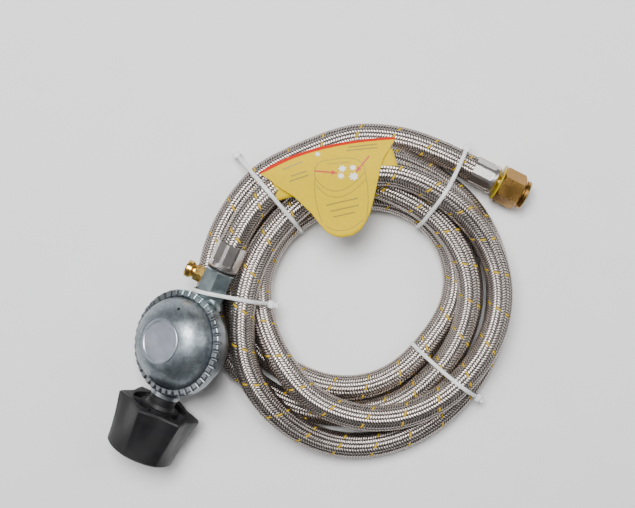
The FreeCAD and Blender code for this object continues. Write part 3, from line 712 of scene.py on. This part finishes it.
def front_panel():
    """The front panel and the fold behind its upper edge, column by column."""
    verts, uv, faces = [], [], []
    for column in range(FRONT_COLUMNS):
        u = column / (FRONT_COLUMNS - 1)
        top = arc_through(*TAG_EDGE, u)
        low = along_rows(TAG_LOW, u)
        for row in range(FRONT_ROWS):
            v = row / (FRONT_ROWS - 1)
            x, y = top + (low - top) * v
            verts.append((x, y, tag_height(x, y)))
            uv.append((u, v))
        x, y = top
        for step in range(1, FOLD_STEPS + 1):
            a = math.pi * step / FOLD_STEPS
            verts.append((x, y + FOLD_R * math.sin(a), tag_height(x, y) - FOLD_R * (1 - math.cos(a))))
            uv.append((u, -0.02 * step))
    per = FRONT_ROWS + FOLD_STEPS
    order = [*range(per - 1, FRONT_ROWS - 1, -1), *range(FRONT_ROWS)]
    for column in range(FRONT_COLUMNS - 1):
        for upper, lower in zip(order, order[1:]):
            a, b = column * per + upper, column * per + lower
            faces.append((a, b, b + per, a + per))
    return verts, uv, faces


def back_panel(base):
    """The panel behind, whose first vertex has the number base."""
    upper_left, lower_left, lower_right, upper_right = (np.array(corner) for corner in TAG_BACK)
    verts, uv, faces = [], [], []
    for column in range(BACK_COLUMNS):
        u = column / (BACK_COLUMNS - 1)
        top = upper_left * (1 - u) + upper_right * u
        low = lower_left * (1 - u) + lower_right * u
        for row in range(BACK_ROWS):
            v = row / (BACK_ROWS - 1)
            x, y = top * (1 - v) + low * v
            verts.append((x, y, tag_height(x, y) - 1.1 - 1.4 * v))
            uv.append((u, 0.30 + 0.25 * v))
    for column in range(BACK_COLUMNS - 1):
        for row in range(BACK_ROWS - 1):
            a = base + column * BACK_ROWS + row
            faces.append((a, a + 1, a + BACK_ROWS + 1, a + BACK_ROWS))
    return verts, uv, faces


def make_tag():
    front, front_uv, front_faces = front_panel()
    back, back_uv, back_faces = back_panel(len(front))
    obj = mesh_object("paper_tag", [from_coil(v) for v in front + back], front_faces + back_faces)
    set_uv(obj, front_uv + back_uv)
    thick = obj.modifiers.new("thickness", "SOLIDIFY")
    thick.thickness = CARD_T
    thick.offset = 0
    return obj


def tag_card():
    """Yellow card with a red band along the fold, wider towards its left end."""
    nodes = Nodes("tag_card", Roughness=0.60, Specular_IOR_Level=0.12)
    u, v = nodes.uv()
    left = nodes.math("POWER", nodes.math("SUBTRACT", 1.0, u), 8.0)
    band = nodes.math("LESS_THAN", v, nodes.math("ADD", nodes.math("MULTIPLY", left, 0.12), 0.006))
    plain = nodes.ramp(nodes.noise(500.0, 4.0), [(0.3, (0.64, 0.445, 0.0)), (0.7, (0.70, 0.49, 0.0))])
    nodes.colour(nodes.mix(band, plain, (0.55, 0.020, 0.003)))
    nodes.bump(nodes.noise(90.0, 3.0), 0.25, 0.0004)
    return nodes.material


tag = make_tag()
give(tag, tag_card())


def ribbon(name, lines, width, material, lift=0.25):
    """Thin printed strokes that follow the tag's front."""
    verts, faces = [], []
    for line in lines:
        points = np.array(line, dtype=float)
        ahead = np.gradient(points, axis=0)
        ahead /= np.linalg.norm(ahead, axis=1)[:, None]
        for (x, y), (dx, dy) in zip(points, ahead):
            for side in (-0.5, 0.5):
                px, py = x - dy * side * width, y + dx * side * width
                verts.append(from_coil((px, py, tag_height(px, py) + lift)))
        first = len(verts) - 2 * len(points)
        for k in range(len(points) - 1):
            a = first + 2 * k
            faces.append((a, a + 2, a + 3, a + 1))
    obj = mesh_object(name, verts, faces)
    give(obj, material)
    return obj


def patch(name, outlines, material, lift):
    """Flat printed shapes on the tag's front, each a fan round its middle."""
    verts, faces = [], []
    for line in outlines:
        points = np.array(line, dtype=float)
        first = len(verts)
        for x, y in [points.mean(axis=0), *points]:
            verts.append(from_coil((x, y, tag_height(x, y) + lift)))
        count = len(points)
        for k in range(count):
            faces.append((first, first + 1 + k, first + 1 + (k + 1) % count))
    obj = mesh_object(name, verts, faces)
    give(obj, material)
    return obj


def ink(name, colour):
    nodes = Nodes(name, Roughness=0.5)
    paler = tuple(min(1.0, 1.15 * c) for c in colour)
    nodes.colour(nodes.ramp(nodes.noise(800.0, 2.0), [(0.3, colour), (0.7, paler)]))
    return nodes.material


def stroke(*corners, steps=10):
    return [along_rows(corners, k / (steps - 1)) for k in range(steps)]


def bow_line(first, middle, last, steps=18):
    return [arc_through(first, middle, last, k / (steps - 1)) for k in range(steps)]


def star(x, y, size, points=7):
    """Corners of a star, a little lower than wide."""
    outline = []
    for k in range(2 * points):
        reach = size * (1.0 if k % 2 else 0.62)
        turn = math.pi * k / points
        outline.append((x + reach * math.cos(turn), y + 0.85 * reach * math.sin(turn)))
    return outline


def arrow_head(tip, tail, size=3.0):
    tip, tail = np.array(tip, dtype=float), np.array(tail, dtype=float)
    ahead = (tip - tail) / np.linalg.norm(tip - tail)
    side = np.array([-ahead[1], ahead[0]])
    return [tip, tip - ahead * size + side * size * 0.45, tip - ahead * size - side * size * 0.45]


# A gas bottle in outline, two arrows to its valve and plain rules, all of this model's own drawing.
BOTTLE = [
    bow_line((-27.9, 65.7), (-27.6, 53.3), (-23.9, 40.8)), bow_line((0.5, 69.2), (2.3, 55.0), (1.2, 43.1)),
    bow_line((-27.9, 65.7), (-15.0, 58.4), (0.5, 69.2)), bow_line((-27.6, 62.0), (-14.6, 54.8), (1.2, 65.4)),
    bow_line((-27.9, 65.7), (-26.6, 73.4), (-19.0, 76.0)), bow_line((-19.0, 76.0), (-4.6, 76.4), (0.5, 69.2)),
    bow_line((-22.0, 38.6), (-11.5, 36.0), (-0.4, 42.2)), stroke((-21.0, 73.6), (-8.0, 74.8)),
]
RULES = [
    stroke((-46.0, 70.4), (-35.0, 75.0)), stroke((-41.6, 66.6), (-32.6, 69.6)),
    stroke((-42.6, 63.6), (-31.4, 67.4)), stroke((-9.0, 83.4), (7.4, 85.2)),
    stroke((-10.0, 81.4), (7.6, 83.2)), stroke((-21.6, 50.2), (-3.6, 54.4)),
    stroke((-19.2, 46.8), (-3.0, 50.4)), stroke((-17.6, 43.6), (-5.4, 46.4)),
]
ARROWS = [((-15.6, 68.6), (-28.4, 69.7)), ((-4.6, 69.2), (2.8, 78.3))]      # tip, tail
STARS = [(-12.4, 71.0, 2.5), (-13.2, 66.9, 2.2), (-6.0, 66.6, 3.0), (-6.4, 71.6, 2.1), (-26.4, 79.2, 1.6)]
RED = (0.50, 0.015, 0.006)

prints = [
    ribbon("tag_drawing", BOTTLE, 0.32, ink("ink_grey", (0.20, 0.15, 0.01))),
    ribbon("tag_rules", RULES, 0.75, ink("ink_olive", (0.26, 0.19, 0.01)), 0.24),
    ribbon("tag_arrows", [stroke(tail, tip) for tip, tail in ARROWS], 0.80, ink("ink_red", RED), 0.34),
    patch("tag_arrow_heads", [arrow_head(*arrow) for arrow in ARROWS], ink("ink_red_solid", RED), 0.38),
    patch("tag_white", [star(*facts) for facts in STARS], ink("ink_white", (0.80, 0.80, 0.78)), 0.31),
]
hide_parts("tag")
for piece in [tag] + prints:
    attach(piece, HOUSING)

# ---------------------------------------------------------------- finishes of the CAD nodes

BOSS_FROM = 0.0262                 # where the plated boss begins, from the crossing towards the hose
RIM_FROM = 0.0092                  # height of the rim's face over the crossing, along the dome's line

def metal(name, dark, light, rough, mottle=45.0, grain=700.0, grain_depth=0.00004, metallic=1.0):
    """Metal with slow colour mottling, uneven polish and a fine grain."""
    nodes = Nodes(name, Metallic=metallic, Roughness=rough[1])
    nodes.colour(nodes.ramp(nodes.noise(mottle, 5.0, 0.6), [(0.32, dark), (0.68, light)]))
    nodes.roughness(nodes.grey(nodes.noise(mottle * 2.3, 4.0), [(0.3, rough[0]), (0.7, rough[1])]))
    nodes.bump(nodes.noise(grain, 3.0), 0.35, grain_depth)
    return nodes


def turned(nodes, direction, per_metre, depth):
    """Fine rings left by a lathe, square to a direction."""
    rings = nodes.math("SINE", nodes.math("MULTIPLY", nodes.along(direction), 2 * math.pi * per_metre))
    nodes.bump(rings, 0.25, depth)


def plastic(name, dark, light, rough, grain=1200.0, depth=0.00006):
    nodes = Nodes(name, Roughness=rough)
    nodes.colour(nodes.ramp(nodes.noise(160.0, 3.0), [(0.3, dark), (0.7, light)]))
    nodes.roughness(nodes.grey(nodes.noise(90.0, 4.0), [(0.3, rough - 0.06), (0.7, rough + 0.08)]))
    nodes.bump(nodes.noise(grain, 2.0), 0.3, depth)
    return nodes.material


def from_crossing(nodes, direction):
    """Distance along a direction, in metres from the crossing of the gas line and the dome's line."""
    return nodes.math("SUBTRACT", nodes.along(direction), float(CROSSING @ direction))


def cast_housing():
    """Grey casting, with a plated boss towards the hose and shadows between the crimps of its rim."""
    nodes = metal("cast_housing", (0.17, 0.19, 0.21), (0.34, 0.36, 0.38), (0.26, 0.42), 60.0, 520.0, 0.00010,
                  metallic=0.95)
    boss = nodes.math("LESS_THAN", nodes.along(GAS), float(CROSSING @ GAS) - BOSS_FROM)
    plated = nodes.ramp(nodes.noise(150.0, 5.0), [(0.3, (0.26, 0.33, 0.36)), (0.7, (0.48, 0.56, 0.58))])
    nodes.colour(nodes.mix(boss, nodes.colour_so_far(), plated))
    bearing = nodes.math("ARCTAN2", from_crossing(nodes, SIDE), from_crossing(nodes, GAS))
    notch = nodes.math("COSINE", nodes.math("MULTIPLY", bearing, RIM_NOTCHES))
    on_rim = nodes.math("GREATER_THAN", nodes.along(DOME), float(CROSSING @ DOME) + RIM_FROM)
    shadow = nodes.math("MULTIPLY", nodes.grey(notch, [(0.30, 0.0), (0.80, 0.55)]), on_rim)
    nodes.colour(nodes.mix(shadow, nodes.colour_so_far(), (0.035, 0.04, 0.045)))
    return nodes.material


def pressed_bonnet():
    """Zinc-coated sheet, cloudy, with dark specks."""
    nodes = Nodes("pressed_bonnet", Metallic=0.92, Roughness=0.4)
    clouds = [(0.34, (0.11, 0.135, 0.16)), (0.50, (0.27, 0.31, 0.34)), (0.64, (0.50, 0.53, 0.55))]
    base = nodes.ramp(nodes.noise(34.0, 7.0, 0.66), clouds)
    speck = nodes.noise(420.0, 4.0, 0.7)
    dirt = nodes.math("MULTIPLY", nodes.grey(speck, [(0.42, 1.0), (0.56, 0.0)]), 0.5)
    nodes.colour(nodes.mix(dirt, base, (0.16, 0.18, 0.20)))
    nodes.roughness(nodes.grey(nodes.noise(120.0, 5.0), [(0.3, 0.30), (0.7, 0.52)]))
    nodes.bump(nodes.noise(160.0, 5.0, 0.6), 0.5, 0.00025)
    nodes.bump(speck, 0.35, 0.00008)
    return nodes.material


def pressed_cap():
    nodes = Nodes("pressed_cap", Metallic=0.92, Roughness=0.35)
    nodes.colour(nodes.ramp(nodes.noise(75.0, 4.0), [(0.3, (0.34, 0.38, 0.46)), (0.7, (0.56, 0.58, 0.65))]))
    nodes.roughness(nodes.grey(nodes.noise(90.0, 3.0), [(0.3, 0.30), (0.7, 0.48)]))
    nodes.bump(nodes.noise(300.0, 3.0), 0.4, 0.00010)
    return nodes.material


casting = cast_housing()
sleeve = metal("crimped_steel", (0.64, 0.59, 0.565), (0.72, 0.67, 0.645), (0.26, 0.32), 40.0, 900.0, 0.00001)
bronze = metal("nut_bronze", (0.32, 0.175, 0.048), (0.38, 0.215, 0.062), (0.22, 0.30), 60.0, 900.0, 0.00001)
turned(bronze, OUTLET, 3000, 0.00002)
brass = metal("turned_brass", (0.52, 0.31, 0.07), (0.68, 0.44, 0.13), (0.20, 0.32), 200.0, 1100.0, 0.00002)
bright = metal("plated_steel", (0.50, 0.51, 0.53), (0.68, 0.69, 0.70), (0.22, 0.36), 120.0, 900.0, 0.00003)
spring = metal("spring_wire", (0.30, 0.30, 0.32), (0.50, 0.50, 0.52), (0.22, 0.36), 300.0, 1500.0, 0.00002)
wheel_black = plastic("wheel_nylon", (0.004, 0.0036, 0.0045), (0.008, 0.0072, 0.0085), 0.50, 900.0, 0.00010)
rubber = plastic("seal_nitrile", (0.008, 0.008, 0.008), (0.016, 0.016, 0.016), 0.55)
cloth_rubber = plastic("diaphragm_nitrile", (0.020, 0.020, 0.020), (0.045, 0.045, 0.045), 0.70, 2500.0,
                       0.00008)
acetal = plastic("adjuster_acetal", (0.60, 0.57, 0.47), (0.74, 0.71, 0.60), 0.42)
ring_yellow = plastic("ring_yellow", (0.42, 0.31, 0.004), (0.58, 0.44, 0.006), 0.35)

FINISHES = {
    "regulator_body": casting, "valve_guide": casting,
    "bonnet": pressed_bonnet(), "bonnet_cap": pressed_cap(),
    "ferrule_regulator": sleeve.material, "ferrule_outlet": sleeve.material,
    "flare_nut": bronze.material,
    "test_point_body": brass.material, "test_point_screw": brass.material, "diaphragm_post": brass.material,
    "seat_holder": brass.material, "orifice": brass.material, "inlet_nipple": brass.material,
    "hose_tail_regulator": brass.material, "hose_tail_outlet": brass.material,
    "diaphragm_plate": bright.material, "plate_nut": bright.material, "lever": bright.material,
    "lever_pin": bright.material, "thrust_washer": bright.material, "main_spring": spring.material,
    "handwheel": wheel_black, "diaphragm": cloth_rubber,
    "seat_disc": rubber, "nose_seal": rubber, "outlet_seal": rubber, "hose_end_regulator": rubber,
    "hose_end_outlet": rubber, "spring_adjuster": acetal, "colour_ring": ring_yellow,
}
for node, finish in FINISHES.items():
    give(frame["nodes"][node], finish)

# ---------------------------------------------------------------- studio

FLOOR_HALF = 3                     # half the side of the floor
FLOOR_Z = -0.0004                  # just under everything that lies on it

corners = [(FLOOR_HALF * x, FLOOR_HALF * y, FLOOR_Z) for x, y in ((-1, -1), (1, -1), (1, 1), (-1, 1))]
floor = mesh_object("floor", corners, [(0, 1, 2, 3)], smooth=False)
paper = Nodes("floor_paper", Roughness=0.85)
paper.colour(paper.grey(paper.noise(40.0, 2.0), [(0.3, 0.88), (0.7, 0.90)]))
give(floor, paper.material)


def area_light(name, at, aim, size, power):
    data = bpy.data.lights.new(name, "AREA")
    data.shape = "RECTANGLE"
    data.size, data.size_y = size
    data.energy = power
    obj = bpy.data.objects.new(name, data)
    obj.location = at
    obj.rotation_euler = (Vector(aim) - Vector(at)).to_track_quat("-Z", "Y").to_euler()
    bpy.context.scene.collection.objects.link(obj)


area_light("key", (-0.05, 0.38, 1.10), (0.08, 0.05, 0), (0.55, 0.45), 21)
area_light("right", (0.75, 0.25, 0.75), (0.08, 0.04, 0), (0.5, 0.5), 3.0)
area_light("left", (-0.75, -0.05, 0.60), (0.05, 0.04, 0), (0.3, 0.6), 1.5)

world = bpy.data.worlds.new("studio")
world.use_nodes = True
world.node_tree.nodes["Background"].inputs["Color"].default_value = (0.95, 0.97, 1.0, 1)
world.node_tree.nodes["Background"].inputs["Strength"].default_value = 0.10
bpy.context.scene.world = world

camera_data = bpy.data.cameras.new("camera")
camera_data.sensor_width = 36.0
camera_data.lens = 60.4
camera = bpy.data.objects.new("camera", camera_data)
camera.location = (0.0856, 0.0640, 0.650)
camera.rotation_euler = (0, 0, 0)
bpy.context.scene.collection.objects.link(camera)
bpy.context.scene.camera = camera
